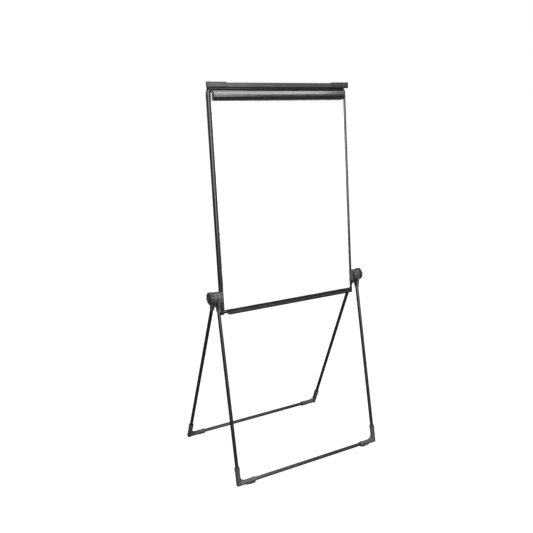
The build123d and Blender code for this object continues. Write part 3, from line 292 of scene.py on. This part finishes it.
def bare_metal(name, colour, rough, along, seed=0.0):
    """Plated or extruded metal: fine lines along one axis, cloudy plating and darker streaks along the
    lines.
    """
    n = Nodes(name)
    fine = tuple(1.0 if keep else 60.0 for keep in along)
    lines = n.noise(40, 4, 0.7, vector=n.stretched(fine), seed=seed)
    cloud = n.noise(90, 4, 0.6, seed=seed + 2)
    shade = n.mix(n.spread(cloud, 0.3, 0.7), scaled(colour, 0.78), scaled(colour, 1.12))
    shade = n.mix(n.part_of(n.spread(lines, 0.45, 0.7), 0.35), shade, scaled(colour, 0.6))
    gloss = n.spread(lines, 0.3, 0.7, rough - 0.08, rough + 0.10)
    n.set(Base_Color=shade, Roughness=gloss, Normal=n.bump(lines, 0.02), Metallic=1.0)
    return n.material


def whiteboard(name):
    """Glossy dry-erase coating: near white, with faint wiped-off haze, and a black band along its top that
    is painted shade for the dark gap under the clamp.
    """
    n = Nodes(name)
    wipes = n.noise(5, 5, 0.6, vector=n.stretched((1.0, 3.0, 0.55)), seed=3)
    haze = n.spread(wipes, 0.45, 0.75)
    shade = n.mix(n.part_of(haze, 0.5), (0.93, 0.935, 0.94), (0.90, 0.907, 0.918))
    # Painted shade: black above this height up the board, standing in for the shadowed gap under the rail
    # and clamp
    shade_band_start = PIVOT.dot(BOARD_UP) + SHADE_BAND_FROM
    painted_shade_band = n.spread(n.along(BOARD_UP), shade_band_start, shade_band_start + SHADE_BAND_EDGE)
    shade = n.mix(painted_shade_band, shade, (0.012, 0.012, 0.0125))
    smears = n.noise(18, 6, 0.7, vector=n.stretched((1.0, 1.0, 0.3)), seed=5)
    gloss = n.spread(smears, 0.3, 0.75, 0.10, 0.22)
    relief = n.bump(n.noise(16, 3, 0.5, seed=8), 0.06)
    n.set(Base_Color=shade, Roughness=gloss, Normal=relief, Coat_Weight=0.35, Coat_Roughness=0.06)
    return n.material


def hardboard(name):
    """Pressed brown fibreboard, smooth but speckled with short fibres."""
    n = Nodes(name)
    fibres = n.noise(260, 6, 0.75, vector=n.stretched((1.0, 1.0, 0.35)), seed=2)
    blotch = n.noise(7, 5, 0.65, seed=6)
    shade = n.mix(n.spread(blotch, 0.3, 0.7), (0.245, 0.150, 0.085), (0.315, 0.205, 0.122))
    shade = n.mix(n.part_of(n.spread(fibres, 0.5, 0.72), 0.6), shade, (0.46, 0.335, 0.22))
    shade = n.mix(n.part_of(n.spread(fibres, 0.42, 0.25), 0.6), shade, (0.13, 0.072, 0.038))
    gloss = n.spread(fibres, 0.3, 0.7, 0.48, 0.66)
    n.set(Base_Color=shade, Roughness=gloss, Normal=n.bump(fibres, 0.10))
    return n.material


def rubber(name, seed=0.0):
    """Matte black rubber with a chalky bloom and fine scuffs."""
    n = Nodes(name)
    bloom = n.noise(70, 5, 0.7, seed=seed)
    scuffs = n.noise(500, 3, 0.7, vector=n.stretched((1, 4, 1)), seed=seed + 2)
    shade = n.mix(n.spread(bloom, 0.4, 0.7), (0.012, 0.012, 0.012), (0.034, 0.033, 0.032))
    shade = n.mix(n.part_of(n.spread(scuffs, 0.6, 0.8), 0.4), shade, (0.075, 0.073, 0.07))
    gloss = n.spread(bloom, 0.3, 0.7, 0.68, 0.86)
    n.set(Base_Color=shade, Roughness=gloss, Normal=n.bump(scuffs, 0.05), Sheen_Weight=0.12)
    return n.material


def fibre(name):
    """Dark pressed fibre washer."""
    n = Nodes(name)
    speck = n.noise(900, 4, 0.7, seed=4)
    shade = n.mix(n.spread(speck, 0.4, 0.7), (0.030, 0.022, 0.018), (0.085, 0.062, 0.048))
    n.set(Base_Color=shade, Roughness=n.spread(speck, 0.3, 0.7, 0.6, 0.8), Normal=n.bump(speck, 0.05))
    return n.material


def nylon(name):
    """Natural nylon, slightly cloudy."""
    n = Nodes(name)
    cloud = n.noise(120, 4, 0.6, seed=9)
    shade = n.mix(n.spread(cloud, 0.3, 0.7), (0.62, 0.60, 0.53), (0.76, 0.745, 0.68))
    n.set(Base_Color=shade, Roughness=n.spread(cloud, 0.3, 0.7, 0.34, 0.48), Normal=n.bump(cloud, 0.04))
    return n.material


ALONG_X = (True, False, False)
ALONG_Z = (False, False, True)

# Coated metal: colour, roughness, grain (mm), grain depth (mm), coat. Moulded: the same without a coat
MATERIALS = {
    "painted_tube": coated_metal(
        "painted_tube", (0.0125, 0.013, 0.0142), 0.30, 0.9, 0.020, 0.35, seed=1
    ),
    "painted_sheet": coated_metal(
        "painted_sheet", (0.011, 0.0115, 0.0125), 0.36, 0.7, 0.020, 0.25, seed=21
    ),
    "clamp_metal": coated_metal(
        "clamp_metal", (0.017, 0.0175, 0.0185), 0.24, 0.8, 0.010, 0.6, seed=41
    ),
    "rail_metal": coated_metal(
        "rail_metal", (0.022, 0.0225, 0.024), 0.36, 0.8, 0.012, 0.12, seed=61
    ),
    "dark_steel": coated_metal(
        "dark_steel", (0.016, 0.016, 0.017), 0.38, 0.5, 0.010, 0.1, worn=(0.3, 0.3, 0.3), seed=81
    ),
    "arm_aluminium": bare_metal("arm_aluminium", (0.62, 0.63, 0.64), 0.34, ALONG_X),
    "zinc_steel": bare_metal("zinc_steel", (0.56, 0.565, 0.57), 0.32, ALONG_Z, seed=5),
    "spring_steel": bare_metal("spring_steel", (0.36, 0.36, 0.37), 0.30, ALONG_X, seed=7),
    "whiteboard": whiteboard("whiteboard"),
    "hardboard": hardboard("hardboard"),
    "edge_trim": moulded("edge_trim", (0.016, 0.016, 0.017), 0.45, 0.6, 0.01, seed=11),
    "satin_plastic": moulded("satin_plastic", (0.022, 0.0225, 0.024), 0.30, 0.6, 0.010, seed=31),
    "moulded_plastic": moulded(
        "moulded_plastic", (0.058, 0.0600, 0.0635), 0.40, 0.8, 0.025, seed=51,
        edge_colour=(0.19, 0.195, 0.2),
    ),
    "knob_plastic": moulded("knob_plastic", (0.022, 0.023, 0.0245), 0.36, 0.7, 0.020, seed=71),
    "black_rubber": rubber("black_rubber", seed=13),
    "fibre_washer": fibre("fibre_washer"),
    "nylon": nylon("nylon"),
}


# ---------------------------------------------------------------- CAD nodes keep their shapes
def finish_cad_nodes():
    for node, obj in frame["nodes"].items():
        obj.data.materials.clear()
        obj.data.materials.append(MATERIALS[SLOT_OF_NODE[node]])


# ---------------------------------------------------------------- moulded pieces
def crown(mesh, depth_mm):
    """Bows the front of a moulding that faces along the board, so that it falls away above and below."""
    up = [vertex.co.dot(BOARD_UP) for vertex in mesh.vertices]
    forward = [vertex.co.dot(BOARD_FORWARD) for vertex in mesh.vertices]
    middle = (max(up) + min(up)) / 2
    half = (max(up) - min(up)) / 2
    back = min(forward)
    depth = max(forward) - back
    for vertex, height, reach in zip(mesh.vertices, up, forward):
        share = max(0.0, (reach - back) / depth - CROWN_START) / (1 - CROWN_START)
        vertex.co -= BOARD_FORWARD * (depth_mm * MM * share * ((height - middle) / half) ** 2)


def soft_skin(node, voxel_mm, rounds, crown_mm):
    """A one-piece skin of a CAD node with its edges and inner corners softened, as a moulding has them."""
    mesh = frame["nodes"][node].data.copy()
    piece = bpy.data.objects.new(f"{node}_skin", mesh)
    bpy.context.scene.collection.objects.link(piece)
    remesh = piece.modifiers.new("skin", "REMESH")
    remesh.mode = "VOXEL"
    remesh.voxel_size = voxel_mm * MM
    remesh.adaptivity = 0.0
    smooth = piece.modifiers.new("soften", "SMOOTH")
    smooth.factor = SMOOTHING
    smooth.iterations = rounds
    depsgraph = bpy.context.evaluated_depsgraph_get()
    skin = bpy.data.meshes.new_from_object(piece.evaluated_get(depsgraph))
    piece.modifiers.clear()
    piece.data = skin
    if crown_mm:
        crown(skin, crown_mm)
    for polygon in skin.polygons:
        polygon.use_smooth = True
    skin.materials.clear()
    skin.materials.append(MATERIALS[SLOT_OF_NODE[node]])
    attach(piece, BODY_OF_NODE[node])
    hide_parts(node)


def soften_mouldings():
    for node, (voxel_mm, rounds, crown_mm) in SOFTENED.items():
        soft_skin(node, voxel_mm, rounds, crown_mm)


# ---------------------------------------------------------------- stage, light and camera
def only_for_camera(tree, seen, unseen):
    """Shows one shader to the camera and another to light and to reflections."""
    path = tree.nodes.new("ShaderNodeLightPath")
    mix = tree.nodes.new("ShaderNodeMixShader")
    tree.links.new(path.outputs["Is Camera Ray"], mix.inputs[0])
    tree.links.new(unseen, mix.inputs[1])
    tree.links.new(seen, mix.inputs[2])
    return mix.outputs[0]


def floor_material():
    """Near-white to the camera, with a faint contact shadow; a darker studio floor to reflections."""
    n = Nodes("studio_floor")
    tint = n.mix(n.noise(3, 3, 0.5), (0.17, 0.17, 0.17), (0.20, 0.20, 0.20))
    distance = n.add("ShaderNodeVectorMath", operation="LENGTH")
    n.link(n.place, distance.inputs[0])
    glow = n.spread(distance.outputs["Value"], GLOW_NEAR, GLOW_FAR, FLOOR_GLOW, 1.0)
    n.set(Base_Color=tint, Roughness=0.9, Emission_Color=(1.0, 1.0, 1.0), Emission_Strength=glow)
    matt = n.add("ShaderNodeBsdfDiffuse")
    matt.inputs["Color"].default_value = (FLOOR_SHADE, FLOOR_SHADE, FLOOR_SHADE, 1)
    output = n.tree.nodes["Material Output"]
    n.link(only_for_camera(n.tree, n.shader.outputs[0], matt.outputs[0]), output.inputs["Surface"])
    return n.material


def floor_sweep():
    """A wide level floor under the easel."""
    mesh = bpy.data.meshes.new("floor")
    shape = bmesh.new()
    corners = []
    for x, y in ((-1, -1), (1, -1), (1, 1), (-1, 1)):
        corners.append(shape.verts.new((x * FLOOR_REACH, y * FLOOR_REACH, -FLOOR_DROP)))
    shape.faces.new(corners)
    shape.to_mesh(mesh)
    shape.free()
    floor = bpy.data.objects.new("floor", mesh)
    bpy.context.scene.collection.objects.link(floor)
    mesh.materials.append(floor_material())


def softbox(name, place, target, size, power):
    """A rectangular soft light at a place, facing a target, and not seen by the camera itself."""
    data = bpy.data.lights.new(name, "AREA")
    data.shape = "RECTANGLE"
    data.size, data.size_y = size
    data.energy = power
    light = bpy.data.objects.new(name, data)
    light.location = place
    light.rotation_euler = (Vector(target) - Vector(place)).to_track_quat("-Z", "Y").to_euler()
    light.visible_camera = False
    bpy.context.scene.collection.objects.link(light)


def surroundings():
    """White behind the object, dim all round it, and brighter from the front right."""
    world = bpy.data.worlds.new("studio")
    bpy.context.scene.world = world
    world.use_nodes = True
    tree = world.node_tree
    backdrop = tree.nodes["Background"]
    backdrop.inputs["Color"].default_value = (1.0, 1.0, 1.0, 1.0)
    backdrop.inputs["Strength"].default_value = 1.0
    place = tree.nodes.new("ShaderNodeTexCoord")
    towards = tree.nodes.new("ShaderNodeVectorMath")
    towards.operation = "DOT_PRODUCT"
    towards.inputs[1].default_value = Vector(BRIGHT_SIDE).normalized()
    tree.links.new(place.outputs["Generated"], towards.inputs[0])
    ramp = tree.nodes.new("ShaderNodeMapRange")
    ramp.interpolation_type = "SMOOTHSTEP"
    ramp.inputs["From Min"].default_value = -0.1
    ramp.inputs["From Max"].default_value = 0.95
    ramp.inputs["To Min"].default_value = DIM_SIDE_GLOW
    ramp.inputs["To Max"].default_value = BRIGHT_SIDE_GLOW
    tree.links.new(towards.outputs["Value"], ramp.inputs["Value"])
    around = tree.nodes.new("ShaderNodeBackground")
    around.inputs["Color"].default_value = SKY_TINT
    tree.links.new(ramp.outputs["Result"], around.inputs["Strength"])
    mixed = only_for_camera(tree, backdrop.outputs[0], around.outputs[0])
    tree.links.new(mixed, tree.nodes["World Output"].inputs["Surface"])


def studio():
    floor_sweep()
    for settings in SOFTBOXES:
        softbox(*settings)
    surroundings()


def camera():
    """The camera stands in front and to the left, nearly as high as the easel, and looks slightly down."""
    data = bpy.data.cameras.new("camera")
    data.sensor_width = SENSOR_MM
    data.lens = LENS_PIXELS / IMAGE_SIDE * SENSOR_MM
    data.shift_x = (IMAGE_SIDE / 2 - IMAGE_CENTRE[0]) / IMAGE_SIDE
    data.shift_y = (IMAGE_CENTRE[1] - IMAGE_SIDE / 2) / IMAGE_SIDE
    data.clip_end = FARTHEST_SEEN
    eye = bpy.data.objects.new("camera", data)
    eye.location = PIVOT + CAMERA_FROM_PIVOT
    eye.rotation_euler = (math.radians(90 - CAMERA_PITCH), 0, math.radians(-CAMERA_YAW))
    bpy.context.scene.collection.objects.link(eye)
    bpy.context.scene.camera = eye


finish_cad_nodes()
soften_mouldings()
studio()
camera()
bpy.context.scene.view_settings.view_transform = "Standard"
